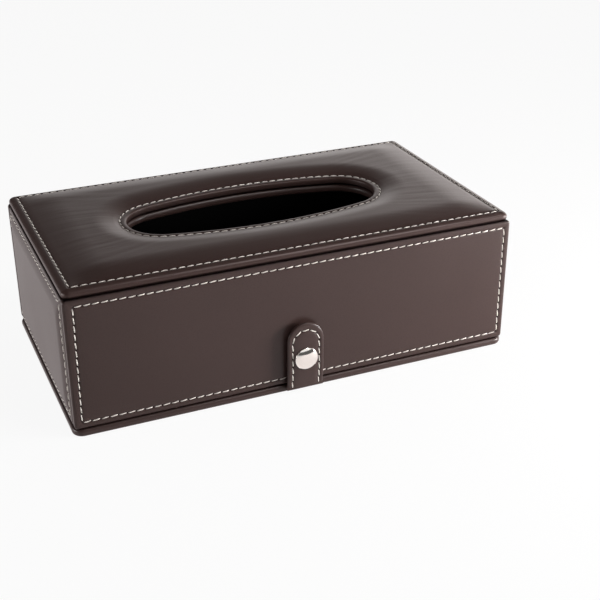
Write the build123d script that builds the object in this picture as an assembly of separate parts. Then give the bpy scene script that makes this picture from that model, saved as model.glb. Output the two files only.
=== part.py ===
"""A leather-covered tissue box: four wrapped walls, a deck and a padded top with an oval slot.

The whole bottom is a hinged panel, held shut by a strap and a snap at the front.
Millimetres. X runs along the width, Y from the front to the back, Z up. The origin is on the
underside of the bottom panel, in the middle of the four walls.
"""

from build123d import *
import math
import os

# ---- The box as a whole --------------------------------------------------------------
body_width = 240.0  # over the side walls
body_depth = 133.0  # over the front and rear walls
wall_height = 69.5

# ---- Sheet goods ----------------------------------------------------------------------
leather = 0.8
wall_board = 2.6
base_board_thickness = 2.4
lining = 0.6
turn_in = 9.0  # how far a cover is turned over onto the back of its board

# ---- Wrapped panels -------------------------------------------------------------------
wall_roll = 1.7  # radius of the leather where it rolls over an edge
base_roll = 1.6
base_overhang = 0.8  # the bottom panel stands proud of the front and side walls by this
base_corner = 5.5
closing_gap = 0.3  # between the bottom panel and the walls that come down on it
glue_gap = 0.1  # between neighbouring panels that are glued together
lining_margin = 2.6  # bare leather left below a wall's lining
base_lining_play = 0.9  # between the bottom panel's lining and the walls' linings

# ---- Deck and padded top --------------------------------------------------------------
deck_board_thickness = 2.6
top_board_thickness = 1.8
top_edge_thickness = 4.6
top_inset = 0.6  # the top panel stands in from the walls by this
top_corner = 3.6
top_roll = 1.8
top_seam_inset = 4.4  # from the top panel's edge to its outer row of stitching
crown_height = 2.6  # rise of the padding above the stitching
crown_run = 15.0  # over which it rises from the outer stitching
crown_level = 2.7  # level band in front of the slot, before the padding falls again
slot_seam_inset = 3.5  # from the slot's edge to the stitching round it

# ---- Oval slot ------------------------------------------------------------------------
slot_half_length = 69.8
slot_half_width = 26.3
slot_end_radius = 20.1

# ---- Leather hinge along the rear lower edge -------------------------------------------
hinge_end_inset = 7.0
hinge_leaf_height = 11.5
hinge_play = 0.1
base_leaf_foot = 0.6  # the lower leaf starts this far above the table

# ---- Strap ----------------------------------------------------------------------------
strap_width = 19.8
strap_thickness = 2.4
strap_top = 39.6
strap_stand_off = 2.2  # from the front wall to the strap's back
strap_root_height = 2.8  # of the fold that the strap turns on
strap_root_gap = 0.3
strap_bend_height = 11.0  # above it the strap runs parallel to the wall
strap_bend_radius = 30.0
strap_edge_roll = 0.6
strap_core_thickness = 0.9
strap_core_inset = 1.4
strap_back_thickness = 0.7
strap_back_inset = 1.0
strap_root_solid = 3.0  # the layers above start this far up from the fold
tail_thickness = 1.0
tail_length = 15.0

# ---- Snap -----------------------------------------------------------------------------
snap_height = 19.8
cap_radius = 6.2
cap_rim = 0.9
cap_dome = 1.2
cap_lip = 0.35
post_radius = 1.5
rivet_radius = 1.2
rivet_flange_radius = 4.0
rivet_flange_thickness = 0.5
stud_flange_radius = 4.2
stud_flange_thickness = 0.4
stud_neck_radius = 1.7
stud_head_radius = 2.1
stud_head_thickness = 0.7
stud_height = 1.5
socket_radius = 4.6
socket_gap = 0.2
socket_recess_depth = 1.1
snap_play = 0.3
hole_play = 0.05

# ---- Worked out -----------------------------------------------------------------------
wall_thickness = wall_board + 2 * leather
base_thickness = base_board_thickness + 2 * leather
deck_thickness = deck_board_thickness + 2 * leather
wall_bottom = base_thickness + closing_gap
wall_top = wall_bottom + wall_height
deck_bottom = wall_top - deck_thickness
top_edge_z = wall_top + top_edge_thickness
half_width = body_width / 2
half_depth = body_depth / 2
inner_half_width = half_width - wall_thickness
inner_half_depth = half_depth - wall_thickness
base_front = -half_depth - base_overhang
padded_depth = half_depth - top_inset - top_seam_inset - slot_half_width - slot_seam_inset
slot_run = padded_depth - crown_run - crown_level  # the fall to the stitching round the slot
hinge_y = half_depth + leather / 2
hinge_z = base_thickness + closing_gap / 2 + leather / 2
strap_root_y = base_front - strap_root_gap - strap_thickness / 2
strap_middle_y = -half_depth - strap_stand_off - strap_thickness / 2


def block(low, high):
    """A box between two opposite corners."""
    size = [h - l for l, h in zip(low, high)]
    middle = [(h + l) / 2 for l, h in zip(low, high)]
    return Pos(*middle) * Box(*size)


def slab(length, width, corner, low, high):
    """An upright prism on a rounded rectangle."""
    outline = Pos(0, 0, low) * RectangleRounded(length, width, corner)
    return extrude(outline, amount=high - low)


def rim_edges(part, z):
    """The edges of a part that lie level at one height."""
    return part.edges().filter_by_position(Axis.Z, z - 1e-4, z + 1e-4)


def wrapped_panel(length, height, board):
    """Cover and board of a panel that lies flat with its face up at z = 0."""
    thickness = board + 2 * leather
    cover = block((-length / 2, -height / 2, -thickness), (length / 2, height / 2, 0))
    cover = fillet(cover.edges(), wall_roll)
    core = block(
        (leather - length / 2, leather - height / 2, leather - thickness),
        (length / 2 - leather, height / 2 - leather, -leather),
    )
    window = back_window(length, height, thickness)
    return cover - core - window, core


def back_window(length, height, thickness):
    """The bare place on a panel's back, inside the leather that is turned over."""
    return block(
        (turn_in - length / 2, turn_in - height / 2, -thickness),
        (length / 2 - turn_in, height / 2 - turn_in, leather - thickness),
    )


def panel_lining(length, height, board, low, high, half_length):
    """A lining that fills the bare place and covers the turned leather round it."""
    thickness = board + 2 * leather
    sheet = block((-half_length, low, -thickness - lining), (half_length, high, -thickness))
    return sheet + back_window(length, height, thickness)


# ---- Walls ----------------------------------------------------------------------------
def wall_lining_limits():
    """Lowest and highest edge of a wall's lining, from the middle of the wall's height."""
    low = lining_margin - wall_height / 2
    high = wall_height / 2 - deck_thickness - glue_gap
    return low, high


def wall_pieces():
    """The four walls. Front and rear cap the ends of the side walls."""
    side_length = 2 * (inner_half_depth - glue_gap)
    low, high = wall_lining_limits()
    long_cover, long_board = wrapped_panel(body_width, wall_height, wall_board)
    side_cover, side_board = wrapped_panel(side_length, wall_height, wall_board)
    long_lining = panel_lining(
        body_width, wall_height, wall_board, low, high, inner_half_width - glue_gap
    )
    side_lining = panel_lining(
        side_length, wall_height, wall_board, low, high, inner_half_depth - lining - glue_gap
    )
    middle = wall_bottom + wall_height / 2
    places = {
        "front": (Plane((0, -half_depth, middle), x_dir=(1, 0, 0), z_dir=(0, -1, 0)), True),
        "rear": (Plane((0, half_depth, middle), x_dir=(-1, 0, 0), z_dir=(0, 1, 0)), True),
        "left": (Plane((-half_width, 0, middle), x_dir=(0, -1, 0), z_dir=(-1, 0, 0)), False),
        "right": (Plane((half_width, 0, middle), x_dir=(0, 1, 0), z_dir=(1, 0, 0)), False),
    }
    pieces = {}
    for side, (plane, is_long) in places.items():
        where = plane.location
        pieces[f"{side}_wall_cover"] = where * (long_cover if is_long else side_cover)
        pieces[f"{side}_wall_board"] = where * (long_board if is_long else side_board)
        pieces[f"{side}_wall_lining"] = where * (long_lining if is_long else side_lining)
    return pieces


# ---- Bottom panel ---------------------------------------------------------------------
def base_slab(inset, low, high):
    """The bottom panel's outline, proud at the front and sides and flush at the rear."""
    length = body_width + 2 * (base_overhang - inset)
    width = body_depth + base_overhang - 2 * inset
    middle = Pos(0, -base_overhang / 2, 0)
    return middle * slab(length, width, max(base_corner - inset, 0.5), low, high)


def tail_room():
    """The space of the strap's tail, between the board and the leather under it."""
    low = (-strap_width / 2, base_front, leather)
    high = (strap_width / 2, base_front + leather + tail_length, leather + tail_thickness)
    return block(low, high)


def base_pieces():
    cover = base_slab(0, 0, base_thickness)
    cover = fillet(rim_edges(cover, 0) + rim_edges(cover, base_thickness), base_roll)
    core = base_slab(leather, leather, base_thickness - leather)
    window = base_slab(turn_in, base_thickness - leather, base_thickness)
    sheet = block(
        (
            base_lining_play + lining - inner_half_width,
            base_lining_play + lining - inner_half_depth,
            base_thickness,
        ),
        (
            inner_half_width - lining - base_lining_play,
            inner_half_depth - lining - base_lining_play,
            base_thickness + lining,
        ),
    )
    return {
        "base_cover": cover - core - window - tail_room(),
        "base_board": core - tail_room(),
        "base_lining": sheet + window,
        "strap_tail": tail_room(),
    }


# ---- Oval slot ------------------------------------------------------------------------
def oval(offset, z):
    """The slot's outline: two long arcs joined by two round ends, moved out by an offset."""
    end = slot_end_radius + offset
    half_long = slot_half_length + offset
    half_wide = slot_half_width + offset
    centre = half_long - end
    long_radius = (centre**2 + half_wide**2 - end**2) / (2 * (half_wide - end))
    turn = math.atan2(long_radius - half_wide, centre)
    x = centre + end * math.cos(turn)
    y = end * math.sin(turn)
    outline = Wire(
        [
            ThreePointArc((x, y), (0, half_wide), (-x, y)),
            ThreePointArc((-x, y), (-half_long, 0), (-x, -y)),
            ThreePointArc((-x, -y), (0, -half_wide), (x, -y)),
            ThreePointArc((x, -y), (half_long, 0), (x, y)),
        ]
    )
    return Pos(0, 0, z) * Face(outline)


def slot_prism(offset, low, high):
    return extrude(oval(offset, low), amount=high - low)


# ---- Deck -----------------------------------------------------------------------------
def deck_pieces():
    """The fixed deck between the walls. Its leather rolls down round the slot."""
    half_x = inner_half_width - glue_gap
    half_y = inner_half_depth - glue_gap
    cover = block((-half_x, -half_y, deck_bottom), (half_x, half_y, wall_top))
    cover = cover - slot_prism(0, deck_bottom, wall_top)
    rims = rim_edges(cover, wall_top) + rim_edges(cover, deck_bottom)
    cover = fillet(rims.filter_by(GeomType.CIRCLE), wall_roll)
    core = block(
        (leather - half_x, leather - half_y, deck_bottom + leather),
        (half_x - leather, half_y - leather, wall_top - leather),
    )
    core = core - slot_prism(leather, deck_bottom, wall_top)
    window = block(
        (turn_in - half_x, turn_in - half_y, deck_bottom),
        (half_x - turn_in, half_y - turn_in, deck_bottom + leather),
    )
    window = window - slot_prism(turn_in, deck_bottom, deck_bottom + leather)
    sheet = block(
        (lining + glue_gap - inner_half_width, lining + glue_gap - inner_half_depth, 0),
        (inner_half_width - lining - glue_gap, inner_half_depth - lining - glue_gap, lining),
    )
    sheet = Pos(0, 0, deck_bottom - lining) * sheet
    sheet = sheet - slot_prism(lining_margin, deck_bottom - lining, deck_bottom)
    return {
        "deck_cover": cover - core - window,
        "deck_board": core,
        "deck_lining": sheet + window,
    }


# ---- Padded top -----------------------------------------------------------------------
def crown_rise(share):
    """Height of the padding at a share of its run, steep at the stitching, level at the top."""
    return crown_height * math.sin(share * math.pi / 2)


crown_shares = (0, 0.3, 0.65, 1)


def padding(skin):
    """The crowned padding inside the stitching, under a skin of this thickness."""
    base = top_edge_z - skin
    rings = []
    for share in crown_shares:
        inset = top_inset + top_seam_inset + crown_run * share
        outline = RectangleRounded(
            body_width - 2 * inset, body_depth - 2 * inset, top_corner + crown_run * share / 2
        )
        rings.append(Pos(0, 0, base + crown_rise(share)) * outline)
    funnel = [oval(slot_seam_inset + slot_run * s, base + crown_rise(s)) for s in crown_shares]
    return loft(rings) - loft(funnel)


def top_slab(skin):
    """The top panel's slab with its rolled edges, less a skin of this thickness."""
    inset = top_inset + skin
    low = wall_top + skin
    high = top_edge_z - skin
    part = slab(body_width - 2 * inset, body_depth - 2 * inset, top_corner - skin, low, high)
    part = part - slot_prism(skin, low, high)
    return fillet(rim_edges(part, low) + rim_edges(part, high), top_roll - skin)


def top_pieces():
    outer = top_slab(0) + padding(0)
    inner = top_slab(leather) + padding(leather)
    board_top = wall_top + leather + top_board_thickness
    board = inner & slab(body_width, body_depth, top_corner, wall_top, board_top)
    length = body_width - 2 * (top_inset + turn_in)
    width = body_depth - 2 * (top_inset + turn_in)
    window = slab(length, width, 1.0, wall_top, wall_top + leather)
    window = window - slot_prism(turn_in, wall_top, wall_top + leather)
    return {
        "top_cover": outer - inner - window,
        "top_board": board,
        "top_foam": inner - slab(body_width, body_depth, top_corner, wall_top, board_top),
    }


# ---- Hinge ----------------------------------------------------------------------------
def hinge_pieces():
    """Two leaves of one leather strip. The upper one ends in a round on the hinge line."""
    half = half_width - hinge_end_inset
    radius = leather / 2
    bead = Pos(0, hinge_y, hinge_z) * Rot(0, 90, 0) * Cylinder(radius, 2 * half)
    upper = block(
        (-half, half_depth, hinge_z),
        (half, half_depth + leather, wall_bottom + hinge_leaf_height),
    )
    lower = block(
        (-half, half_depth, base_leaf_foot),
        (half, half_depth + leather, hinge_z - radius - hinge_play),
    )
    return {"hinge_wall_leaf": upper + bead, "hinge_base_leaf": lower}


# ---- Strap ----------------------------------------------------------------------------
def strap_line(distance, top):
    """A line in the plane of Y and Z along the strap, this far out from its middle."""
    lean = math.atan2(strap_root_y - strap_middle_y, strap_bend_height - strap_root_height)
    foot = (
        strap_root_y - distance * math.cos(lean),
        strap_root_height - distance * math.sin(lean),
    )
    knee = (
        strap_middle_y - distance,
        strap_bend_height - distance * math.tan(lean / 2),
    )
    head = (strap_middle_y - distance, top)
    return foot, knee, head


def strap_layer(near, far, inset, foot):
    """A layer of the strap between two distances from its middle, inset from its outline."""
    inner = strap_line(near, strap_top)
    outer = strap_line(far, strap_top)
    lines = [
        FilletPolyline(*inner, radius=strap_bend_radius + near),
        Line(inner[2], outer[2]),
        FilletPolyline(*outer, radius=strap_bend_radius + far),
        Line(outer[0], inner[0]),
    ]
    section = make_face(Curve() + lines)
    section = Plane.YZ * section
    band = extrude(section, amount=strap_width, both=True)
    half = strap_width / 2 - inset
    round_centre = strap_top - strap_width / 2
    face = Rectangle(2 * half, round_centre - foot, align=(Align.CENTER, Align.MIN))
    face = Pos(0, foot) * face + Pos(0, round_centre) * Circle(half)
    outline = extrude(Plane.XZ.offset(half_depth) * face, amount=strap_width)
    return band & outline


def strap_front_edges(body):
    """The edges round the strap's face, up its sides and round its end."""
    half = strap_width / 2
    found = []
    for edge in body.edges():
        middle = edge.center()
        low = min(middle.Z, strap_bend_height) - strap_root_height
        share = low / (strap_bend_height - strap_root_height)
        middle_y = strap_root_y + (strap_middle_y - strap_root_y) * share
        on_outline = abs(abs(middle.X) - half) < 1e-3 or middle.Z > strap_top - half
        if on_outline and middle.Y < middle_y and middle.Z > strap_root_height:
            found.append(edge)
    return found


def strap_pieces():
    half = strap_thickness / 2
    body = strap_layer(-half, half, 0, strap_root_height - strap_thickness)
    body = fillet(strap_front_edges(body), strap_edge_roll)
    bead = Pos(0, strap_root_y, strap_root_height) * Rot(0, 90, 0) * Cylinder(half, strap_width)
    body = body + bead
    start = strap_root_height + strap_root_solid
    back = strap_layer(-half, strap_back_thickness - half, strap_back_inset, start)
    core = strap_layer(
        strap_back_thickness - half,
        strap_back_thickness + strap_core_thickness - half,
        strap_core_inset,
        start,
    )
    hole = snap_turned(Circle(post_radius + hole_play), -half_depth, strap_width)
    return {
        "strap_face": body - back - core - hole,
        "strap_core": core - hole,
        "strap_back": back - hole,
    }


# ---- Snap -----------------------------------------------------------------------------
def snap_turned(face, start_y, length):
    """A face pushed out towards the front from a depth, on the snap's axis."""
    plane = Plane((0, start_y, snap_height), x_dir=(1, 0, 0), z_dir=(0, -1, 0))
    return extrude(plane * face, amount=length)


def snap_disc(radius, start_y, length, bore=0.0):
    """A round disc on the snap's axis, with a bore where one is given."""
    face = Circle(radius) - Circle(bore) if bore else Circle(radius)
    return snap_turned(face, start_y, length)


def snap_cap():
    """A low dome with a rolled lip, on a post that goes through the strap."""
    seat = strap_middle_y - strap_thickness / 2
    socket_back = strap_middle_y + strap_thickness / 2
    post_length = socket_back - seat + socket_back_plate()
    dome_radius = (cap_radius**2 + cap_dome**2) / (2 * cap_dome)
    crown = (0, cap_rim + cap_dome)
    along = dome_radius - math.sqrt(dome_radius**2 - (cap_radius / 2) ** 2)
    profile = make_face(
        Curve()
        + [
            Line((0, 0), (cap_radius, 0)),
            Line((cap_radius, 0), (cap_radius, cap_rim)),
            ThreePointArc((cap_radius, cap_rim), (cap_radius / 2, crown[1] - along), crown),
            Line(crown, (0, 0)),
        ]
    )
    cap = revolve(Plane.XZ * profile, Axis.Z)
    cap = fillet(cap.edges().filter_by(GeomType.CIRCLE), cap_lip)
    plane = Plane((0, seat, snap_height), x_dir=(1, 0, 0), z_dir=(0, -1, 0))
    post = snap_disc(post_radius, seat + post_length, post_length)
    return plane.location * cap + post


def socket_back_plate():
    """Thickness of the socket's plate behind its recess."""
    return strap_stand_off - stud_flange_thickness - socket_gap - socket_recess_depth


def snap_pieces():
    socket_face = -half_depth - stud_flange_thickness - socket_gap
    socket_length = strap_stand_off - stud_flange_thickness - socket_gap
    socket = snap_disc(socket_radius, socket_face, socket_length, post_radius + hole_play)
    recess = snap_disc(stud_head_radius + snap_play, socket_face, socket_recess_depth)
    stud = snap_disc(stud_flange_radius, -half_depth, stud_flange_thickness)
    stud = stud + snap_disc(stud_neck_radius, -half_depth, stud_height)
    head_start = stud_height - stud_head_thickness
    stud = stud + snap_disc(stud_head_radius, -half_depth - head_start, stud_head_thickness)
    rivet_reach = stud_height - stud_head_thickness
    bore = snap_disc(rivet_radius + hole_play, -half_depth, rivet_reach)
    board_back = -half_depth + leather + wall_board
    flange = snap_disc(
        rivet_flange_radius, board_back + rivet_flange_thickness, rivet_flange_thickness
    )
    shank = snap_disc(rivet_radius, board_back, leather + wall_board + rivet_reach)
    return {
        "snap_cap": snap_cap(),
        "snap_socket": socket - recess,
        "snap_stud": stud - bore,
        "snap_rivet": flange + shank,
    }


def rivet_holes(pieces):
    """The front wall's hole for the rivet, and the room for its flange in the lining."""
    hole = snap_disc(rivet_radius + hole_play, -half_depth + wall_thickness, wall_thickness)
    for name in ("front_wall_cover", "front_wall_board"):
        pieces[name] = pieces[name] - hole
    room = snap_disc(
        rivet_flange_radius + hole_play,
        -half_depth + leather + wall_board + rivet_flange_thickness + hole_play,
        rivet_flange_thickness + hole_play,
    )
    pieces["front_wall_lining"] = pieces["front_wall_lining"] - room


# ---- The whole box --------------------------------------------------------------------
def box_pieces():
    pieces = {}
    for group in (
        base_pieces,
        wall_pieces,
        deck_pieces,
        top_pieces,
        hinge_pieces,
        strap_pieces,
        snap_pieces,
    ):
        pieces.update(group())
    rivet_holes(pieces)
    return pieces


os.makedirs("parts", exist_ok=True)
for node, piece in box_pieces().items():
    export_step(piece, f"parts/{node}.step")
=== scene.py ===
"""Leather, thread, metal and linings of a tissue box with a padded top and a snap-closed bottom."""

import math

import bmesh
import bpy
from mathutils import Matrix, Vector, kdtree, noise

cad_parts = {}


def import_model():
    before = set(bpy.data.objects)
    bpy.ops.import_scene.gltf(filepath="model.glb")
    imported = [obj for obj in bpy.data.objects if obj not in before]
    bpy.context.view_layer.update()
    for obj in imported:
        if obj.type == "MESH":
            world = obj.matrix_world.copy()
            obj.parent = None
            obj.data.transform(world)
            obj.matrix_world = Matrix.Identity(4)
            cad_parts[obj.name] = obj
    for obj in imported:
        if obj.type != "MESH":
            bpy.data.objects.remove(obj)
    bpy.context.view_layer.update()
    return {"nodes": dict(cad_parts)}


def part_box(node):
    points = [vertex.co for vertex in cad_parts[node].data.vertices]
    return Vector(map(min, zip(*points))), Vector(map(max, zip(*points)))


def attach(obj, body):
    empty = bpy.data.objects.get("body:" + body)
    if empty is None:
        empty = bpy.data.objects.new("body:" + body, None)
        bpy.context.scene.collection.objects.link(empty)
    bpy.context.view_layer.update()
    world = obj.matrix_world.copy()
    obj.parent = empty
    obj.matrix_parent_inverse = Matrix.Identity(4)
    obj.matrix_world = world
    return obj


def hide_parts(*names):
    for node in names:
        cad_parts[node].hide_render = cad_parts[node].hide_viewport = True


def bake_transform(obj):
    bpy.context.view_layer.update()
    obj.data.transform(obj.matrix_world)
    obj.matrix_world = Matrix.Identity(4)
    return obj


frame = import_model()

mm = 0.001
merge_gap = 0.001 * mm

# ---- Leather panels ------------------------------------------------------------------
base_roll = 1.6 * mm
base_corner = 5.5 * mm
base_corner_steps = 10
deck_roll = 1.7 * mm
under_roll = 1.5 * mm
over_roll = 1.1 * mm  # how deep a wall's face rolls away at its edges
roll_reach = 1.5 * mm  # and how far in from the edge the roll starts
top_over_roll = 2.4 * mm
top_roll_reach = 4.2 * mm
wall_corner = 1.7 * mm
top_corner = 3.6 * mm
least_corner = 0.5 * mm
roll_steps = 7
corner_steps = 6
wall_swell = 0.12 * mm  # rise of the front and rear walls' leather above its stitching
side_swell = 1.25 * mm  # and that of the side walls' leather
swell_run = 5.5 * mm  # how far in from the stitching it rises
swell_corner = 7.0 * mm
swell_shares = (0.12, 0.25, 0.4, 0.6, 0.8, 1.0)
back_insets = (6.0 * mm, 3.0 * mm)  # of the rings on the flat back of a wall's leather

# ---- Painted shade in the grooves and creases where two panels meet --------------------
shade_fade = 0.9 * mm
wall_back_shade = 1.5 * mm
wall_top_shade = 0.8 * mm
top_under_shade = 1.9 * mm
base_upper_shade = 0.5 * mm

# ---- Seams ---------------------------------------------------------------------------
wall_seam_inset = 3.6 * mm
top_seam_inset = 4.4 * mm
slot_seam_inset = 3.5 * mm
strap_seam_inset = 2.6 * mm
strap_end_inset = 3.9 * mm
groove_half = 0.95 * mm  # half the width of the dip that the stitches pull
groove_depth = 0.26 * mm
hole_reach = 0.5 * mm
hole_depth = 0.26 * mm
long_pitch = 4.45 * mm  # of the stitches along the width and up the corners
side_pitch = 4.9 * mm  # of the stitches along the depth
stitch_share = 0.84  # of a stitch's pitch that its thread shows
thread_width = 0.56 * mm
thread_sink = 0.12 * mm  # of a stitch's middle line below the leather's face
side_sink = -0.08 * mm  # below zero: the side walls' stitches ride a little above it
thread_sides = 8
thread_rings = 9
thread_bluntness = 0.28  # how blunt a stitch's ends are: 0 is an ellipse
stitch_slant = math.radians(6)
stitch_arch = 0.36 * mm  # how far a stitch's ends dive below its middle
seam_drift = 1.2 * mm  # the front wall's left seam leans in by this at its top
drift_at_middle = 0.55  # the share of it halfway up the wall
drift_start = 2.4 * mm  # in from the wall's end
drift_rise = 0.8 * mm
drift_end = 28 * mm  # beyond it nothing is shifted
drift_fall = 22 * mm

# ---- Padded top ----------------------------------------------------------------------
crown_height = 2.6 * mm
side_run = 17.0 * mm  # in from the seams along the width, over which the crown rises
end_run = 21.0 * mm  # and from those along the depth
slot_run = 14.0 * mm  # and from the one round the slot
top_field_rings = 30
crease = 0.05 * mm
crease_run = 24 * mm  # past the centres of the slot's ends, over which creases deepen
fan_depth = 90 * mm  # from those centres back to where the creases would meet
fold_length = 48 * mm
folds_per_radian = 34
fine_fold_length = 36 * mm
fine_folds_per_radian = 80
fine_fold_share = 0.5
wave_length = 26 * mm
wave_width = 15 * mm
wave_share = 1.1

# ---- Oval slot -----------------------------------------------------------------------
slot_half_length = 69.8 * mm
slot_half_width = 26.3 * mm
slot_end_radius = 20.1 * mm
deck_points = 480  # round the slot in the deck, and round the deck's edge

# ---- Strap ---------------------------------------------------------------------------
strap_bend_height = 11.0 * mm
strap_bend_radius = 30.0 * mm
strap_root_height = 2.8 * mm
strap_root_gap = 0.3 * mm
strap_thickness = 2.4 * mm
strap_field = 0.3 * mm  # rise of the strap's middle above its stitching
strap_edge_reach = 1.2 * mm
strap_edge_over = 0.8 * mm
strap_edge_under = 0.7 * mm
strap_rise = ((4.4 * mm, 0.45), (5.4 * mm, 0.12), (6.6 * mm, 0.0))  # insets, and what is left of it
strap_foot_round = 0.5 * mm
strap_foot_play = 0.1 * mm  # that its round foot is shorter than the strap is wide
strap_foot_sides = 40
strap_side_steps = 70
strap_end_steps = 60

# ---- Thin plies ------------------------------------------------------------------------
hinge_edge = 0.25 * mm
hinge_cuts = 9
tail_edge = 0.2 * mm

# ---- Snap: radii and heights -----------------------------------------------------------
turn_steps = 96
cap_lip = 0.35 * mm
cap_rim_height = 0.55 * mm  # the dome starts this far above the strap
lip_margin = 6  # degrees between the lip's end and the dome's start
socket_edge = 0.5 * mm
socket_bore = 1.4 * mm
socket_mouth = 2.4 * mm
socket_lip = 0.4 * mm
socket_recess = 1.1 * mm
flat_margin = 0.1 * mm  # of flat metal beside a rounding, so that the flat is shaded flat
stud_edge = 0.2 * mm
stud_neck = 2.0 * mm
stud_foot = 0.42 * mm
stud_waist = 0.4 * mm
stud_waist_height = 0.8 * mm
stud_head = 2.1 * mm
stud_head_round = 0.35 * mm

# ---- Camera, fitted to the photograph's 600 by 600 pixels -----------------------------
photo_pixels = 600
focal_pixels = 1157.3
camera_place = (-0.2050, -0.5439, 0.3110)
camera_tilt = 0.464  # below level
camera_turn = 0.403  # from +Y towards +X
camera_roll = -0.005


# ---- Node trees ----------------------------------------------------------------------
class Number:
    """A value in a finish's node tree; sums and products of numbers add Math nodes."""

    def __init__(self, finish, socket):
        self.finish = finish
        self.socket = socket

    def _math(self, operation, first, second):
        settings = {"operation": operation}
        return self.finish.node("ShaderNodeMath", settings, {0: first, 1: second})

    def __add__(self, other):
        return self._math("ADD", self, other)

    __radd__ = __add__

    def __sub__(self, other):
        return self._math("SUBTRACT", self, other)

    def __rsub__(self, other):
        return self._math("SUBTRACT", other, self)

    def __mul__(self, other):
        return self._math("MULTIPLY", self, other)

    __rmul__ = __mul__


class Finish:
    """A node tree that ends in one shader."""

    def __init__(self, tree, shader):
        self.tree = tree
        self.shader = shader

    def node(self, kind, settings=None, sockets=None, output=0):
        """A new node: its settings first, then the values or links of its sockets."""
        made = self.tree.nodes.new(kind)
        for key, value in (settings or {}).items():
            setattr(made, key, value)
        for key, value in (sockets or {}).items():
            self.feed(made.inputs[key], value)
        return Number(self, made.outputs[output])

    def feed(self, socket, value):
        if isinstance(value, Number):
            self.tree.links.new(value.socket, socket)
        else:
            socket.default_value = value

    def surface(self, **sockets):
        """Feeds the shader's sockets, named with underscores for spaces."""
        for key, value in sockets.items():
            self.feed(self.shader.inputs[key.replace("_", " ")], value)

    def place(self):
        return self.node("ShaderNodeTexCoord", output="Object")

    def noise(self, place, scale, detail=2.0, roughness=0.5):
        sockets = {"Vector": place, "Scale": scale, "Detail": detail, "Roughness": roughness}
        return self.node("ShaderNodeTexNoise", None, sockets, "Fac")

    def cells(self, place, scale):
        return self.node("ShaderNodeTexVoronoi", None, {"Vector": place, "Scale": scale}, "Distance")

    def stretched(self, place, scale):
        return self.node("ShaderNodeMapping", None, {"Vector": place, "Scale": scale})

    def axis(self, vector, name):
        """One of a vector's parts: X, Y or Z."""
        return self.node("ShaderNodeSeparateXYZ", None, {0: vector}, name)

    def ray(self, kind):
        """1 for rays of a kind and 0 for the others."""
        return self.node("ShaderNodeLightPath", output=kind)

    def mix(self, share, first, second):
        """A colour between two others; sockets 6 and 7 and output 2 are the node's colours."""
        settings = {"data_type": "RGBA"}
        return self.node("ShaderNodeMix", settings, {0: share, 6: first, 7: second}, 2)

    def eased(self, value, low, high):
        settings = {"interpolation_type": "SMOOTHSTEP"}
        sockets = {"Value": value, "From Min": low, "From Max": high}
        return self.node("ShaderNodeMapRange", settings, sockets)

    def bump(self, height, distance, strength=1.0, under=None):
        """A normal raised by a height, on top of the normal under it where one is given."""
        sockets = {"Height": height, "Distance": distance, "Strength": strength}
        if under is not None:
            sockets["Normal"] = under
        return self.node("ShaderNodeBump", None, sockets)


def new_finish(name):
    material = bpy.data.materials.new(name)
    material.use_nodes = True
    return material, Finish(material.node_tree, material.node_tree.nodes["Principled BSDF"])


def tint(red, green, blue):
    """A colour given in screen values from 0 to 255, as the shader's linear numbers."""
    return tuple(((v / 255 + 0.055) / 1.055) ** 2.4 for v in (red, green, blue)) + (1.0,)


# ---- Finishes ------------------------------------------------------------------------
def brown_leather(name, padded):
    """Smooth satin leather: fine pores, soft blotches, painted shade in the needle holes and in the
    grooves between panels, streaks if padded.
    """
    material, finish = new_finish(name)
    place = finish.place()
    blotch = finish.noise(place, 22.0, 4.0, 0.55)
    cloud = finish.noise(place, 7.0)
    pores = finish.cells(place, 1500.0)
    grain = finish.noise(place, 1100.0)
    shade = finish.node("ShaderNodeAttribute", {"attribute_name": "shade"}, output="Fac")
    colour = finish.mix(blotch, tint(55, 40, 37), tint(62, 46, 43))
    colour = finish.mix(finish.eased(pores, 0.05, 0.5), tint(52, 37, 35), colour)
    # Painted shade: the shade attribute turns the leather nearly black in the needle holes and in
    # the grooves between panels
    colour = finish.mix(finish.eased(shade, 0.1, 0.9), colour, tint(24, 12, 11))
    roughness = 0.25 + 0.07 * blotch + 0.05 * cloud + 0.04 * grain + 0.3 * shade
    height = finish.eased(pores, 0.0, 0.6) * 0.5 + grain * 0.5
    normal = finish.bump(height, 0.02 * mm, 0.4)
    if padded:
        streaks = finish.noise(finish.stretched(place, (30.0, 260.0, 1.0)), 1.0, 6.0, 0.68)
        normal = finish.bump(streaks, 0.12 * mm, 0.45, normal)
    # A dark metal mirrors little, so the painted shade in the needle holes and in the grooves
    # between panels stays dark under the sheen
    finish.surface(
        Base_Color=colour,
        Metallic=shade * 0.9,
        Roughness=roughness,
        Normal=normal,
        Specular_IOR_Level=0.35,
        Specular_Tint=(1.0, 0.87, 0.85, 1.0) if padded else (1.0, 1.0, 1.0, 1.0),
    )
    return material


def waxed_thread(name):
    """Cream sewing thread with its twist."""
    material, finish = new_finish(name)
    turns = finish.node("ShaderNodeTexCoord", output="UV")
    sockets = {"Vector": finish.stretched(turns, (1.0, 4.0, 1.0)), "Scale": 1.0, "Distortion": 0.3}
    settings = {"wave_type": "BANDS", "bands_direction": "DIAGONAL"}
    twist = finish.node("ShaderNodeTexWave", settings, sockets, "Fac")
    fuzz = finish.noise(finish.place(), 900.0)
    colour = finish.mix(twist, tint(222, 212, 202), tint(246, 241, 235))
    finish.surface(
        Base_Color=finish.mix(fuzz * 0.3, colour, tint(205, 192, 180)),
        Roughness=0.62 + 0.15 * fuzz,
        Normal=finish.bump(twist, 0.06 * mm, 0.7),
    )
    return material


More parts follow.
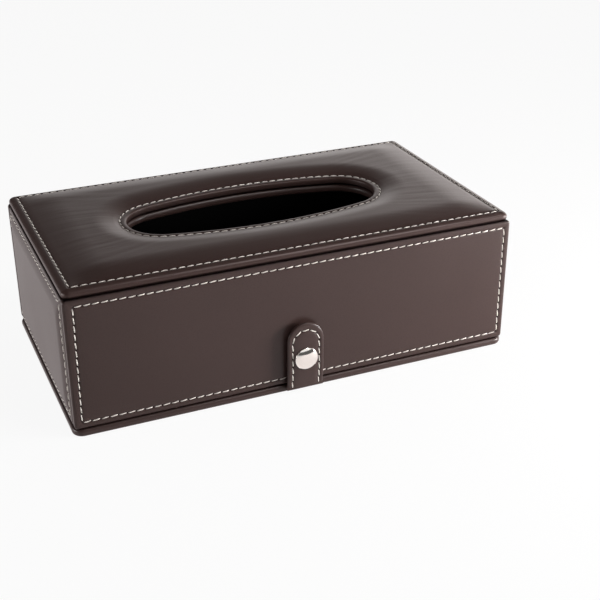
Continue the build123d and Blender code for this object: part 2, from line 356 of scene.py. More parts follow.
def black_flannel(name):
    """Black flannel with a short nap that lies along the width."""
    material, finish = new_finish(name)
    place = finish.place()
    fibres = finish.noise(finish.stretched(place, (1.0, 1.6, 1.0)), 700.0, 4.0, 0.7)
    nap = finish.noise(place, 60.0, 3.0)
    colour = finish.mix(fibres, tint(10, 10, 11), tint(30, 29, 31))
    finish.surface(
        Base_Color=finish.mix(nap * 0.5, colour, tint(16, 15, 17)),
        Roughness=0.9 + 0.08 * nap,
        Normal=finish.bump(fibres, 0.15 * mm, 0.8),
        Sheen_Weight=0.25,
    )
    return material


def pressed_board(name, pale, dark):
    """Pressed board: flecked, with short fibres."""
    material, finish = new_finish(name)
    place = finish.place()
    fibres = finish.noise(finish.stretched(place, (0.5, 1.0, 2.0)), 500.0, 4.0, 0.65)
    flecks = finish.eased(finish.cells(place, 260.0), 0.05, 0.16)
    colour = finish.mix(fibres, pale, dark)
    finish.surface(
        Base_Color=finish.mix(flecks, dark, colour),
        Roughness=0.82 + 0.1 * fibres,
        Normal=finish.bump(fibres, 0.05 * mm),
    )
    return material


def polished_nickel(name):
    """Polished nickel with a faint haze and fine wear."""
    material, finish = new_finish(name)
    place = finish.place()
    haze = finish.noise(place, 300.0, 3.0)
    wear = finish.noise(finish.stretched(place, (1.0, 1.0, 6.0)), 900.0)
    finish.surface(
        Base_Color=finish.mix(haze, tint(240, 234, 227), tint(250, 246, 241)),
        Metallic=1.0,
        Roughness=0.05 + 0.05 * haze,
        Normal=finish.bump(wear, 0.004 * mm, 0.4),
    )
    return material


leather = brown_leather("brown_leather", False)
padded_leather = brown_leather("padded_leather", True)
thread_finish = waxed_thread("cream_thread")
flannel = black_flannel("black_flannel")
greyboard = pressed_board("greyboard", tint(150, 144, 134), tint(112, 107, 99))
nickel = polished_nickel("polished_nickel")


# ---- Lines and arcs ------------------------------------------------------------------
def line(start, end):
    """A straight stretch: its length, and its point and direction at a distance."""
    start = Vector(start)
    span = Vector(end) - start
    return span.length, lambda s: (start + span * (s / span.length), span.normalized())


def arc(centre, radius, start, sweep):
    """A round stretch, counter-clockwise where the sweep is above zero."""
    centre = Vector(centre)
    sense = math.copysign(1, sweep)

    def at(s):
        angle = start + sense * s / radius
        out = Vector((math.cos(angle), math.sin(angle)))
        return centre + radius * out, sense * Vector((-out.y, out.x))

    return radius * abs(sweep), at


def length_of(stretches):
    return sum(length for length, at in stretches)


def walk(stretches, distance):
    """The point and the direction at a distance along several stretches."""
    for length, at in stretches:
        if distance <= length:
            return at(distance)
        distance -= length
    return stretches[-1][1](stretches[-1][0])


def spaced(stretches, count):
    """Points at even distances round a closed outline."""
    step = length_of(stretches) / count
    return [walk(stretches, i * step)[0] for i in range(count)]


def rectangle(half_x, half_y, corner):
    """A rounded rectangle, counter-clockwise from the middle of its +X side."""
    x, y = half_x - corner, half_y - corner
    quarter = math.pi / 2
    return [
        line((half_x, 0), (half_x, y)),
        arc((x, y), corner, 0, quarter),
        line((x, half_y), (-x, half_y)),
        arc((-x, y), corner, quarter, quarter),
        line((-half_x, y), (-half_x, -y)),
        arc((-x, -y), corner, 2 * quarter, quarter),
        line((-x, -half_y), (x, -half_y)),
        arc((x, -y), corner, 3 * quarter, quarter),
        line((half_x, -y), (half_x, 0)),
    ]


slot_centre = slot_half_length - slot_end_radius
slot_long_radius = (slot_centre**2 + slot_half_width**2 - slot_end_radius**2) / (
    2 * (slot_half_width - slot_end_radius)
)
slot_turn = math.atan2(slot_long_radius - slot_half_width, slot_centre)


def slot_outline(offset):
    """The oval slot's edge moved outwards by an offset: two long arcs and two round ends."""
    end = slot_end_radius + offset
    long_radius = slot_long_radius + offset
    middle = slot_long_radius - slot_half_width
    return [
        arc((slot_centre, 0), end, 0, slot_turn),
        arc((0, -middle), long_radius, slot_turn, math.pi - 2 * slot_turn),
        arc((-slot_centre, 0), end, math.pi - slot_turn, 2 * slot_turn),
        arc((0, middle), long_radius, math.pi + slot_turn, math.pi - 2 * slot_turn),
        arc((slot_centre, 0), end, -slot_turn, slot_turn),
    ]


def slot_distance(x, y):
    """How far a point lies outside the slot's edge."""
    x, y = abs(x), abs(y)
    if math.atan2(y, x - slot_centre) < slot_turn:
        return math.hypot(x - slot_centre, y) - slot_end_radius
    return math.hypot(x, y + slot_long_radius - slot_half_width) - slot_long_radius


def slot_ring(offset, z, count):
    """Points at even distances round the slot."""
    return [Vector((*p, z)) for p in spaced(slot_outline(offset), count)]


# ---- Meshes --------------------------------------------------------------------------
def finished(name, bm, material, sharp_over=42):
    """The piece made of a bmesh: merged, facing outwards and smooth up to an angle in degrees."""
    bmesh.ops.remove_doubles(bm, verts=bm.verts, dist=merge_gap)
    bmesh.ops.recalc_face_normals(bm, faces=bm.faces)
    mesh = bpy.data.meshes.new(name)
    bm.to_mesh(mesh)
    bm.free()
    mesh.materials.append(material)
    mesh.shade_smooth()
    mesh.set_sharp_from_angle(angle=math.radians(sharp_over))
    piece = bpy.data.objects.new(name, mesh)
    bpy.context.scene.collection.objects.link(piece)
    return piece


def first_ring(bm, points, closed=True):
    """Points joined by edges, the last to the first where the ring is closed."""
    ring = [bm.verts.new(p) for p in points]
    for a, b in zip(ring, ring[1:] + ring[:1] if closed else ring[1:]):
        bm.edges.new((a, b))
    return ring


def next_ring(bm, ring, points, closed=True):
    """Extrudes a ring of points and puts the new ring where it belongs."""
    following = ring[1:] + ring[:1] if closed else ring[1:]
    edges = [bm.edges.get(pair) for pair in zip(ring, following)]
    made = bmesh.ops.extrude_edge_only(bm, edges=edges)
    fresh = {v for v in made["geom"] if isinstance(v, bmesh.types.BMVert)}
    new = []
    for vert in ring:
        others = (e.other_vert(vert) for e in vert.link_edges)
        new.append(next(v for v in others if v in fresh))
    for vert, point in zip(new, points):
        vert.co = point
    return new


def lofted(rings, closed=True, wrap=True):
    """A skin through rings of as many points; the last joins the first where it wraps."""
    bm = bmesh.new()
    ring = first_ring(bm, rings[0], closed)
    for points in rings[1:] + (rings[:1] if wrap else []):
        ring = next_ring(bm, ring, points, closed)
    return bm


def rolled(low, high, reach=roll_reach, over=over_roll, under=under_roll):
    """Insets and heights round a rolled edge, from the panel's underside up to its face."""
    quarter = [i / roll_steps * math.pi / 2 for i in range(roll_steps + 1)]
    below = [(under - under * math.sin(a), low + under - under * math.cos(a)) for a in quarter]
    above = [(reach - reach * math.cos(a), high - over + over * math.sin(a)) for a in quarter]
    return below + above


# Across a seam in halves of its groove, and along it in shares of a stitch from a needle hole
across_steps = (-1.0, -0.7, -0.42, -0.2, 0.0, 0.2, 0.42, 0.7, 1.0)
along_steps = (0.0, 0.07, 0.18, 0.5, 0.82, 0.93)


def risen(share):
    """How far padding has risen over a share of its run: steep at first and level at the end."""
    return math.sin(min(max(share, 0.0), 1.0) * math.pi / 2)


def dip(across):
    """How deep the groove of a seam is at a distance across it, in halves of its width."""
    return groove_depth * (1 - across**2) ** 2


def panel_edge(low, high, seam_inset, reach=roll_reach, over=over_roll):
    """Insets and heights from a panel's underside, over its rolled edge and across its seam."""
    start = seam_inset - groove_half
    edge = rolled(low, high, reach, over)
    steps = [(inset, z) for inset, z in edge if z < high - over or inset < start]
    for across in across_steps:
        inset = seam_inset + across * groove_half
        to_go = max(0.0, 1 - inset / reach)
        rolled_away = over * (1 - math.sqrt(1 - to_go**2))
        steps.append((inset, high - rolled_away - dip(across)))
    return steps


def stitched_ring(half_x, half_y, corner, counts, z):
    """Points round a panel, counter-clockwise, in step with the stitches of each side.

    The first lies at the middle of the +X side, as it does round the slot.
    """
    x, y = half_x - corner, half_y - corner
    long_count, short_count = counts
    sides = (
        ((half_x, -y), (half_x, y), short_count, (x, y)),
        ((x, half_y), (-x, half_y), long_count, (-x, y)),
        ((-half_x, y), (-half_x, -y), short_count, (-x, -y)),
        ((-x, -half_y), (x, -half_y), long_count, (x, -y)),
    )
    ring = []
    for turn, (start, end, count, centre) in enumerate(sides):
        start, end, centre = Vector(start), Vector(end), Vector(centre)
        for i in range(count):
            ring += [start.lerp(end, (i + step) / count) for step in along_steps]
        for i in range(corner_steps):
            angle = (turn + i / corner_steps) * math.pi / 2
            ring.append(centre + corner * Vector((math.cos(angle), math.sin(angle))))
    middle = (short_count // 2) * len(along_steps) + along_steps.index(0.5)
    return [Vector((*p, z)) for p in ring[middle:] + ring[:middle]]


def shade_layer(bm):
    """The attribute that paints shade on the leather at the points it is set at."""
    return bm.verts.layers.float.get("shade") or bm.verts.layers.float.new("shade")


def painted_rim_shade(bm, level, sense, axis=2):
    """Paints shade on the rim beyond a level of an axis: above it where the sense is 1, below it at
    -1.
    """
    mark = shade_layer(bm)
    for vert in bm.verts:
        beyond = sense * (vert.co[axis] - level) / shade_fade
        vert[mark] = max(vert[mark], min(1.0, max(0.0, beyond)))


def pricked(bm, holes):
    """Sinks the leather round each needle hole and paints shade there."""
    nearest = kdtree.KDTree(len(holes))
    for i, hole in enumerate(holes):
        nearest.insert(hole, i)
    nearest.balance()
    mark = shade_layer(bm)
    for vert in bm.verts:
        gap = nearest.find(vert.co)[2]
        closeness = math.exp(-((gap / hole_reach) ** 2))
        vert[mark] = max(vert[mark], closeness)
        vert.co.z -= hole_depth * closeness


def capped(bm):
    """Closes the open ends of a skin."""
    bmesh.ops.remove_doubles(bm, verts=bm.verts, dist=merge_gap)
    bmesh.ops.holes_fill(bm, edges=[e for e in bm.edges if e.is_boundary])


def slab_edges(bm, upright):
    """Upright edges of a slab, or those round its top and bottom faces."""
    if upright:
        return [e for e in bm.edges if abs(e.verts[0].co.z - e.verts[1].co.z) > merge_gap]
    flat = [f for f in bm.faces if abs(f.normal.z) > 0.99]
    return list({e for f in flat for e in f.edges})


def bevelled(bm, edges, radius, steps=roll_steps):
    """Rounds edges."""
    bmesh.ops.bevel(
        bm,
        geom=edges,
        offset=radius,
        segments=steps,
        profile=0.5,
        affect="EDGES",
        material=-1,
        clamp_overlap=True,
    )
    bm.normal_update()


def cuboid(bm, size, middle):
    """Adds a plain block."""
    matrix = Matrix.Translation(middle) @ Matrix.Diagonal((*size, 1.0))
    bmesh.ops.create_cube(bm, size=1.0, matrix=matrix)


# ---- Thread --------------------------------------------------------------------------
def one_stitch():
    """A stitch's thread along X, one long, arched so that its ends dive into the leather."""
    bm = bmesh.new()
    bm.loops.layers.uv.new("along_thread")
    bmesh.ops.create_uvsphere(
        bm,
        u_segments=thread_sides,
        v_segments=thread_rings,
        radius=1.0,
        matrix=Matrix.Rotation(math.pi / 2, 4, "Y"),
        calc_uvs=True,
    )
    for vert in bm.verts:
        reach = abs(vert.co.x)
        radius = thread_width / 2 * max(1 - reach**2, 0.02) ** -thread_bluntness
        vert.co.x /= 2
        vert.co.y *= radius
        vert.co.z = vert.co.z * radius - stitch_arch * reach**4
    mesh = bpy.data.meshes.new("stitch")
    bm.to_mesh(mesh)
    bm.free()
    return mesh


stitch = one_stitch()


def sewn(bm, stretches, count, height, sink=thread_sink):
    """Adds a seam's stitches on a flat panel and gives the needle holes between them."""
    pitch = length_of(stretches) / count
    holes = []
    for i in range(count + 1):
        holes.append(Vector((*walk(stretches, i * pitch)[0], height)))
    for i in range(count):
        point, along = walk(stretches, (i + 0.5) * pitch)
        start = len(bm.verts)
        bm.from_mesh(stitch)
        bm.verts.ensure_lookup_table()
        turn = math.atan2(along.y, along.x) + stitch_slant
        spot = Matrix.Translation((*point, height - sink)) @ Matrix.Rotation(turn, 4, "Z")
        spot = spot @ Matrix.Diagonal((pitch * stitch_share, 1, 1, 1))
        bmesh.ops.transform(bm, matrix=spot, verts=bm.verts[start:])
    return holes


def rectangle_sewn(bm, half_x, half_y, counts, height, sink=thread_sink):
    """Sews the four sides of a rectangle, each by itself, and gives all the needle holes."""
    x, y = half_x - least_corner, half_y - least_corner
    sides = (
        (line((half_x, -y), (half_x, y)), counts[1]),
        (line((x, half_y), (-x, half_y)), counts[0]),
        (line((-half_x, y), (-half_x, -y)), counts[1]),
        (line((-x, -half_y), (x, -half_y)), counts[0]),
    )
    return [hole for side, count in sides for hole in sewn(bm, [side], count, height, sink)]


def thread_mesh():
    """An empty mesh that takes a seam's stitches."""
    bm = bmesh.new()
    bm.loops.layers.uv.new("along_thread")
    return bm


# ---- Walls ---------------------------------------------------------------------------
wall_sides = {
    "front": ((1, 0, 0), (0, -1, 0)),
    "rear": ((-1, 0, 0), (0, 1, 0)),
    "left": ((0, -1, 0), (-1, 0, 0)),
    "right": ((0, 1, 0), (1, 0, 0)),
}


def face_place(origin, along, outwards):
    """Where a panel modelled flat, face up at height 0, stands: X along, Y up, Z outwards."""
    along, outwards = Vector(along), Vector(outwards)
    columns = (along, outwards.cross(along), outwards)
    return Matrix.Translation(origin) @ Matrix(columns).transposed().to_4x4()


def leaning(point, half_x, half_y):
    """How far the front wall's left seam has drifted in at a point, most at its upper end."""
    inset = half_x + point.x
    near = min(1.0, max(0.0, (inset - drift_start) / drift_rise))
    far = min(1.0, max(0.0, (drift_end - inset) / drift_fall))
    upwards = drift_at_middle + (1 - drift_at_middle) * point.y / half_y
    return seam_drift * near * far**2 * upwards


def wall_panel(side):
    """One wall's leather with its rolled edges and sunken seam, and the thread sewn in it."""
    low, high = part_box(f"{side}_wall_cover")
    along, outwards = (Vector(v) for v in wall_sides[side])
    size = high - low
    half_x, half_y = abs(size.dot(along)) / 2, size.z / 2
    thickness = abs(size.dot(outwards))
    place = face_place((low + high) / 2 + outwards * thickness / 2, along, outwards)
    long_side = side in ("front", "rear")
    pitch = long_pitch if long_side else side_pitch
    swell = wall_swell if long_side else side_swell
    sink = thread_sink if long_side else side_sink

    seam_x, seam_y = half_x - wall_seam_inset, half_y - wall_seam_inset
    counts = (round(2 * seam_x / pitch), round(2 * seam_y / long_pitch))
    threads = thread_mesh()
    holes = rectangle_sewn(threads, seam_x, seam_y, counts, 0.0, sink)

    profile = [(inset, -thickness) for inset in back_insets]
    profile += panel_edge(-thickness, 0.0, wall_seam_inset)
    rings = []
    for inset, z in profile:
        corner = max(wall_corner - inset, least_corner)
        rings.append(stitched_ring(half_x - inset, half_y - inset, corner, counts, z))
    for share in swell_shares:
        inset = wall_seam_inset + groove_half + swell_run * share
        corner = least_corner + swell_corner * share
        z = swell * risen(share)
        rings.append(stitched_ring(half_x - inset, half_y - inset, corner, counts, z))
    skins = lofted(rings, wrap=False)
    capped(skins)
    # Painted shade at the back of the wall's edges, where they meet the next panel, and along its
    # upper edge, in the groove under the top panel
    painted_rim_shade(skins, wall_back_shade - thickness, -1)
    painted_rim_shade(skins, half_y - wall_top_shade, 1, axis=1)
    pricked(skins, holes)
    for bm in (threads, skins):
        if side == "front":
            for vert in bm.verts:
                vert.co.x += leaning(vert.co, half_x, half_y)
        bmesh.ops.transform(bm, matrix=place, verts=bm.verts)
    skin = finished(f"{side}_wall_leather", skins, leather, 60)
    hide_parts(f"{side}_wall_cover")
    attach(skin, "box")
    thread = finished(f"{side}_wall_thread", threads, thread_finish, sharp_over=180)
    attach(thread, "box")


for side in wall_sides:
    wall_panel(side)


# ---- Padded top ----------------------------------------------------------------------
top_low, top_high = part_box("top_cover")
top_half_x = top_high.x
top_half_y = top_high.y
top_edge_z = top_high.z - crown_height
top_seam_x = top_half_x - top_seam_inset
top_seam_y = top_half_y - top_seam_inset


def crown(x, y):
    """Height of the padding above the stitching."""
    from_ends = risen((top_seam_x - abs(x)) / end_run)
    from_sides = risen((top_seam_y - abs(y)) / side_run)
    from_slot = risen((slot_distance(x, y) - slot_seam_inset) / slot_run)
    return crown_height * from_ends * from_sides * from_slot


def creases(x, y):
    """Light creases that fan out from the slot's ends, and a faint unevenness elsewhere."""
    past = abs(x) - slot_centre
    share = max(0.0, min(1.0, past / crease_run))
    fan = math.atan2(y, past + fan_depth)
    reach = math.hypot(past, y)
    end_seed = math.copysign(7.0, x)
    folds = noise.noise(Vector((fan * folds_per_radian, reach / fold_length, end_seed)))
    fine_place = (fan * fine_folds_per_radian, reach / fine_fold_length, end_seed + 3)
    fine = noise.noise(Vector(fine_place))
    waves = noise.noise(Vector((x / wave_length, y / wave_width, 2.5)))
    return crease * (share * (folds + fine_fold_share * fine) + wave_share * waves)


def odd_count(length, pitch):
    """An odd number of stitches, so that one lies at the middle of the seam."""
    return round(length / pitch) // 2 * 2 + 1


def padded_top():
    """The padded leather between its outer edge and the slot, and its two rows of stitching."""
    counts = (odd_count(2 * top_seam_x, long_pitch), odd_count(2 * top_seam_y, side_pitch))
    threads = thread_mesh()
    holes = rectangle_sewn(threads, top_seam_x, top_seam_y, counts, top_edge_z)
    thread = finished("top_thread", threads, thread_finish, sharp_over=180)
    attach(thread, "box")
    threads = thread_mesh()
    slot_seam = slot_outline(slot_seam_inset)
    slot_count = round(length_of(slot_seam) / long_pitch)
    holes += sewn(threads, slot_seam, slot_count, top_edge_z)
    thread = finished("slot_thread", threads, thread_finish, sharp_over=180)
    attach(thread, "box")

    outside = panel_edge(top_low.z, top_edge_z, top_seam_inset, top_roll_reach, top_over_roll)
    inside = panel_edge(top_low.z, top_edge_z, slot_seam_inset)
    rings = []
    for inset, z in outside:
        corner = max(top_corner - inset, least_corner)
        rings.append(stitched_ring(top_half_x - inset, top_half_y - inset, corner, counts, z))
    points = len(rings[0])
    slot_side = [slot_ring(offset, z, points) for offset, z in inside]
    outer, inner = rings[-1], slot_side[-1]
    for step in range(1, top_field_rings):
        ring = []
        for a, b in zip(outer, inner):
            point = a.lerp(b, step / top_field_rings)
            rise = crown(point.x, point.y)
            point.z = top_edge_z + rise + creases(point.x, point.y) * min(1.0, rise / crown_height)
            ring.append(point)
        rings.append(ring)
    skins = lofted(rings + slot_side[::-1])
    bmesh.ops.remove_doubles(skins, verts=skins.verts, dist=merge_gap)
    # Painted shade round the top panel's underside, in the grooves above the walls and the deck
    painted_rim_shade(skins, top_low.z + top_under_shade, -1)
    pricked(skins, holes)
    skin = finished("top_leather", skins, padded_leather, 60)
    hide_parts("top_cover", "top_foam")
    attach(skin, "box")


padded_top()


# ---- Deck ----------------------------------------------------------------------------
def deck():
    """The deck's leather, rolled down round the slot."""
    low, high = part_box("deck_cover")
    edge = spaced(rectangle(high.x, high.y, least_corner), deck_points)
    under = [Vector((*p, low.z)) for p in edge]
    over = [Vector((*p, high.z)) for p in edge]
    roll = rolled(low.z, high.z, deck_roll, deck_roll)
    rings = [slot_ring(offset, z, deck_points) for offset, z in roll]
    skin = finished("deck_leather", lofted([under] + rings + [over]), leather)
    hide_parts("deck_cover")
    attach(skin, "box")


deck()


# ---- Bottom panel --------------------------------------------------------------------
def bottom_panel():
    """The bottom panel's leather, with its rounded corners and rolled edges."""
    low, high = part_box("base_cover")
    bm = bmesh.new()
    cuboid(bm, high - low, (low + high) / 2)
    bevelled(bm, slab_edges(bm, True), base_corner, base_corner_steps)
    bevelled(bm, slab_edges(bm, False), base_roll)
    # Painted shade along the bottom panel's upper edge, in the groove under the walls
    painted_rim_shade(bm, high.z - base_upper_shade, 1)
    skin = finished("base_leather", bm, leather)
    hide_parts("base_cover")
    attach(skin, "base")


bottom_panel()


# ---- Hinge strip ---------------------------------------------------------------------
def hinge_strip():
    """One leather strip glued to the rear wall and to the bottom panel, cut across in a band between
    them where the leather bends when the box opens.
    """
    low, base_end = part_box("hinge_base_leaf")
    wall_start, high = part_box("hinge_wall_leaf")
    fold = (base_end.z + wall_start.z) / 2
    bend = 1.3 * mm  # half the height of the leather that bends
    bm = bmesh.new()
    cuboid(bm, high - low, (low + high) / 2)
    bevelled(bm, bm.edges[:], hinge_edge, 3)
    for i in range(hinge_cuts):
        z = fold + bend * (2 * i / (hinge_cuts - 1) - 1)
        geometry = bm.verts[:] + bm.edges[:] + bm.faces[:]
        bmesh.ops.bisect_plane(bm, geom=geometry, plane_co=(0, 0, z), plane_no=(0, 0, 1))
    strip = finished("hinge_strip", bm, leather)
    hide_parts("hinge_base_leaf", "hinge_wall_leaf")
    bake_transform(strip)


hinge_strip()


# ---- Strap ---------------------------------------------------------------------------
strap_low, strap_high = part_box("strap_face")
strap_half = strap_high.x
strap_middle_y = strap_low.y + strap_thickness / 2
strap_root_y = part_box("base_cover")[0].y - strap_root_gap - strap_thickness / 2
strap_end_drop = strap_end_inset - strap_seam_inset
strap_lean = math.atan2(strap_root_y - strap_middle_y, strap_bend_height - strap_root_height)


def strap_course():
    """The strap's middle line in the plane of Y and Z, from its foot up."""
    bend = strap_bend_radius * math.tan(strap_lean / 2)
    lean = Vector((-math.sin(strap_lean), math.cos(strap_lean)))
    knee = Vector((strap_middle_y, strap_bend_height))
    foot = Vector((strap_root_y, strap_root_height))
    upright = Vector((strap_middle_y, strap_bend_height + bend))
    centre = upright + Vector((strap_bend_radius, 0))
    return [
        line(foot, knee - lean * bend),
        arc(centre, strap_bend_radius, math.pi + strap_lean, -strap_lean),
        line(upright, (strap_middle_y, strap_high.z)),
    ]


strap_line = strap_course()
strap_length = length_of(strap_line)


def on_strap(point):
    """Bends a point of the flat strap, face up at height 0, onto its course."""
    (y, z), along = walk(strap_line, min(max(point.y, 0.0), strap_length))
    outwards = Vector((-along.y, along.x))
    depth = point.z
    return Vector((point.x, y + outwards.x * depth, z + outwards.y * depth))


def strap_ring(inset, depth):
    """An open ring up one side of the strap, round its end and down the other side."""
    half = strap_half - inset
    round_centre = strap_length - strap_half - strap_end_drop * min(1.0, inset / strap_seam_inset)
    sides = [round_centre * i / strap_side_steps for i in range(strap_side_steps)]
    turns = [math.pi * (1 - i / strap_end_steps) for i in range(strap_end_steps + 1)]
    points = [Vector((-half, v, depth)) for v in sides]
    for a in turns:
        points.append(Vector((half * math.cos(a), round_centre + half * math.sin(a), depth)))
    points += [Vector((half, v, depth)) for v in sides[::-1]]
    return points


def strap():
    """The strap's leather, padded a little inside its seam, with a round foot, and its thread."""
    half = strap_thickness / 2
    seam_z = half - strap_field
    threads = thread_mesh()
    inset_half = strap_half - strap_seam_inset
    round_centre = strap_length - strap_half - strap_end_drop
    seam = [
        line((-inset_half, 0), (-inset_half, round_centre)),
        arc((0, round_centre), inset_half, math.pi, -math.pi),
        line((inset_half, round_centre), (inset_half, 0)),
    ]
    holes = sewn(threads, seam, round(length_of(seam) / long_pitch), seam_z)

    profile = [(strap_half, -half)]
    profile += rolled(-half, seam_z, strap_edge_reach, strap_edge_over, strap_edge_under)
    for across in across_steps:
        profile.append((strap_seam_inset + across * groove_half, seam_z - dip(across)))
    profile += [(inset, half - left * strap_field) for inset, left in strap_rise]
    profile += [(strap_half, half)]
    skins = lofted([strap_ring(*step) for step in profile], closed=False, wrap=False)
    capped(skins)
    pricked(skins, holes)
    for bm in (threads, skins):
        for vert in bm.verts:
            vert.co = on_strap(vert.co)
    foot = Matrix.Translation((0, strap_root_y, strap_root_height))
    foot = foot @ Matrix.Rotation(math.pi / 2, 4, "Y")
    start = len(skins.verts)
    bmesh.ops.create_cone(
        skins,
        cap_ends=True,
        segments=strap_foot_sides,
        radius1=half,
        radius2=half,
        depth=2 * strap_half - strap_foot_play,
        matrix=foot,
    )
    skins.verts.ensure_lookup_table()
    ends = [e for e in {e for v in skins.verts[start:] for e in v.link_edges} if e.is_manifold]
    ends = [e for e in ends if abs(e.verts[0].co.x - e.verts[1].co.x) < merge_gap]
    bevelled(skins, ends, strap_foot_round, 4)
    skin = finished("strap_leather", skins, leather)
    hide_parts("strap_face", "strap_core", "strap_back")
    thread = finished("strap_thread", threads, thread_finish, sharp_over=180)
    for piece in (skin, thread):
        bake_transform(piece)


strap()


def strap_tail():
    """The ply that joins the strap to the bottom panel, glued in between board and leather."""
    low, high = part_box("strap_tail")
    bm = bmesh.new()
    cuboid(bm, high - low, (low + high) / 2)
    bevelled(bm, bm.edges[:], tail_edge, 2)
    tail = finished("strap_tail_leather", bm, leather)
    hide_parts("strap_tail")
    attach(tail, "base")


strap_tail()


# ---- Snap ----------------------------------------------------------------------------
snap_height = (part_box("snap_cap")[0].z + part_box("snap_cap")[1].z) / 2


def turned(name, profile, face_y, body, node):
    """A nickel piece turned round the snap's axis, its foot on a face and its head outwards."""
    bm = bmesh.new()
    outline = first_ring(bm, [Vector((r, 0, h)) for r, h in profile], closed=False)
    bmesh.ops.spin(
        bm,
        geom=outline + bm.edges[:],
        cent=(0, 0, 0),
        axis=(0, 0, 1),
        angle=2 * math.pi,
        steps=turn_steps,
        use_merge=True,
    )
    place = face_place((0, face_y, snap_height), (1, 0, 0), (0, -1, 0))
    bmesh.ops.transform(bm, matrix=place, verts=bm.verts)
    piece = finished(name, bm, nickel, 35)
    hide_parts(node)
    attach(piece, body)


def round_points(centre, radius, start, end, steps):
    """Points on an arc in a profile, from one angle in degrees to another."""
    points = []
    for i in range(steps + 1):
        angle = math.radians(start + (end - start) * i / steps)
        points.append((centre[0] + radius * math.cos(angle), centre[1] + radius * math.sin(angle)))
    return points


def snap_cap():
    """The cap in front of the strap: a low dome in a rolled lip."""
    low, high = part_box("snap_cap")
    seat = strap_low.y
    top = seat - low.y
    rise = top - cap_rim_height
    face_radius = high.x - cap_lip
    dome_radius = (face_radius**2 + rise**2) / (2 * rise)
    edge_angle = 90 - math.degrees(math.asin(face_radius / dome_radius))
    profile = [(0, 0), (face_radius, 0)]
    profile += round_points((face_radius, cap_lip), cap_lip, -90, edge_angle - lip_margin, 14)[1:]
    profile += round_points((0, top - dome_radius), dome_radius, edge_angle, 90, 16)
    turned("snap_cap_metal", profile, seat, "strap", "snap_cap")


def snap_socket():
    """The socket behind the strap: a ring with a recess that takes the stud's head."""
    low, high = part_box("snap_socket")
    depth = high.y - low.y
    radius = high.x - socket_edge
    mouth = socket_mouth + socket_lip
    profile = [
        (socket_bore, depth),
        (radius - flat_margin, depth),
        *round_points((radius, depth - socket_edge), socket_edge, 90, 0, 5),
        *round_points((radius, socket_edge), socket_edge, 0, -90, 5),
        (mouth + flat_margin, 0),
        *round_points((mouth, socket_lip), socket_lip, -90, -180, 4),
        (socket_mouth, socket_recess),
        (socket_bore, socket_recess),
        (socket_bore, depth),
    ]
    turned("snap_socket_metal", profile, high.y, "strap", "snap_socket")


def snap_stud():
    """The stud on the front wall: a flange, a waist and a rounded head."""
    low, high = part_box("snap_stud")
    height = high.y - low.y
    flange = high.x
    shoulder = height - stud_head_round
    profile = [
        (0, 0),
        (flange, 0),
        *round_points((flange - stud_edge, stud_edge), stud_edge, 0, 90, 4),
        (stud_neck, stud_foot),
        *round_points((stud_head, stud_waist_height), stud_waist, 225, 150, 5),
        (stud_neck, shoulder),
        *round_points((stud_head - stud_head_round, shoulder), stud_head_round, 20, 90, 5),
        (0, height),
    ]
    turned("snap_stud_metal", profile, high.y, "box", "snap_stud")


snap_cap()
snap_socket()
snap_stud()


# ---- Finishes of the pieces that stay as they are --------------------------------------
kept_finishes = {"board": greyboard, "lining": flannel, "rivet": nickel}
for node_name, node in frame["nodes"].items():
    for last_word, material in kept_finishes.items():
        if node_name.endswith(last_word):
            node.data.materials.clear()
            node.data.materials.append(material)


# ---- Floor, light and camera ---------------------------------------------------------
floor_half = 4.0


def floor():
    """A white floor that keeps the box's shadow, and glows for mirrored rays, with a painted shadow
    that dims that glow at the box's front left.
    """
    material, finish = new_finish("pale_floor")
    place = finish.place()
    seen = finish.ray("Is Camera Ray")
    mirrored = finish.ray("Is Glossy Ray")
    mottle = finish.mix(finish.noise(place, 3.0), tint(236, 236, 235), tint(240, 240, 240))
    finish.surface(Base_Color=mottle, Roughness=0.7)
    pale = finish.mix(seen, tint(255, 246, 246), tint(255, 255, 255))
    white = finish.node("ShaderNodeEmission", None, {"Color": pale, "Strength": 1.0})
    # Painted shadow: the glow that glossy rays see is dimmed at the box's front left, which darkens
    # the left end of the front wall
    left = 1 - finish.eased(finish.axis(place, "X"), -0.13, 0.0)
    before = 1 - finish.eased(finish.axis(place, "Y"), -0.09, -0.06)
    share = seen * 0.92 + mirrored * (0.68 - 0.6 * left * before)
    bare = Number(finish, finish.shader.outputs[0])
    blended = finish.node("ShaderNodeMixShader", None, {0: share, 1: bare, 2: white})
    finish.feed(finish.tree.nodes["Material Output"].inputs["Surface"], blended)
    bm = bmesh.new()
    bmesh.ops.create_grid(bm, x_segments=1, y_segments=1, size=floor_half)
    mesh = bpy.data.meshes.new("floor")
    bm.to_mesh(mesh)
    bm.free()
    mesh.materials.append(material)
    plane = bpy.data.objects.new("floor", mesh)
    bpy.context.scene.collection.objects.link(plane)


floor()


def soft_box(name, place, target, size, watts):
    """A rectangular lamp that faces a target; its size is its width and its height."""
    lamp = bpy.data.lights.new(name, "AREA")
    lamp.shape = "RECTANGLE"
    lamp.size, lamp.size_y = size
    lamp.energy = watts
    held = bpy.data.objects.new(name, lamp)
    held.location = place
    held.rotation_euler = (Vector(target) - Vector(place)).to_track_quat("-Z", "Y").to_euler()
    bpy.context.scene.collection.objects.link(held)


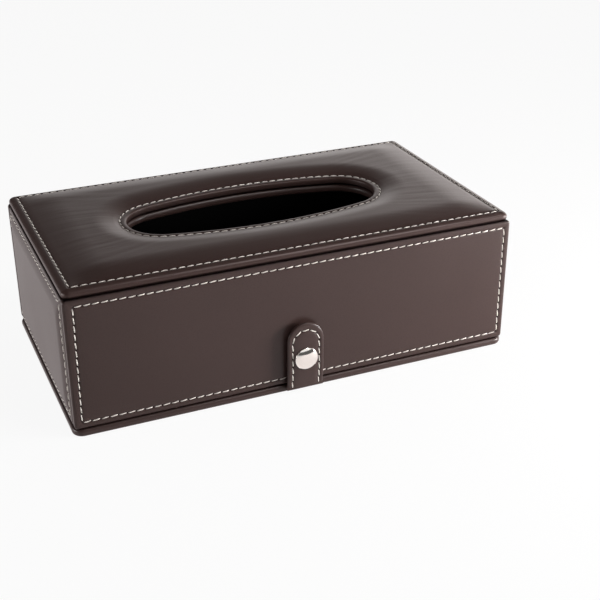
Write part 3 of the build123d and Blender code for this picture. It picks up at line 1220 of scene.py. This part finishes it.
box_middle = (0, 0, 0.05)
soft_box("key_lamp", (0.45, -0.5, 0.97), box_middle, size=(0.4, 0.4), watts=4.6)
soft_box("front_lamp", (0.3, -1.1, 0.47), box_middle, size=(1.8, 0.24), watts=1.15)
soft_box("right_lamp", (0.46, -0.26, 0.09), (0.1, -0.06, 0.03), size=(0.16, 0.14), watts=4.2)
soft_box("left_lamp", (-1.1, 0.1, 0.16), (-0.1, 0, 0.04), size=(0.9, 0.24), watts=7.5)


def world():
    """A sweep low behind the box, brightest at its right, and a dim sky; a camera sees white."""
    made = bpy.data.worlds.new("studio")
    made.use_nodes = True
    bpy.context.scene.world = made
    tree = made.node_tree
    sky = Finish(tree, tree.nodes["Background"])
    direction = sky.node("ShaderNodeTexCoord", output="Generated")
    east, north, up = (sky.axis(direction, name) for name in "XYZ")
    low = 1 - sky.eased(up, 0.12, 0.62)
    side = sky.eased(east * 1.6 + north * 0.1, -0.15, 1.1)
    behind = sky.eased(north, -0.5, 0.1)
    sweep = sky.mix(side * behind, (0.1, 0.1, 0.1, 1), (2.15, 2.06, 2.02, 1))
    above = sky.mix(side, (0.06, 0.06, 0.06, 1), (0.22, 0.21, 0.2, 1))
    shade = sky.mix(low, above, sweep)
    sky.surface(Color=sky.mix(sky.ray("Is Camera Ray"), shade, (1, 1, 1, 1)), Strength=1.0)


world()


def camera():
    """The camera of the photograph, fitted to the box's corners."""
    lens = bpy.data.cameras.new("camera")
    lens.sensor_width = 36.0
    lens.lens = focal_pixels * lens.sensor_width / photo_pixels
    lens.clip_start = 0.01
    lens.clip_end = 50.0
    held = bpy.data.objects.new("camera", lens)
    bpy.context.scene.collection.objects.link(held)
    aim = Matrix.Rotation(-camera_turn, 4, "Z") @ Matrix.Rotation(math.pi / 2 - camera_tilt, 4, "X")
    aim = aim @ Matrix.Rotation(camera_roll, 4, "Z")
    held.matrix_world = Matrix.Translation(camera_place) @ aim
    bpy.context.scene.camera = held


camera()
bpy.context.scene.view_settings.view_transform = "Standard"
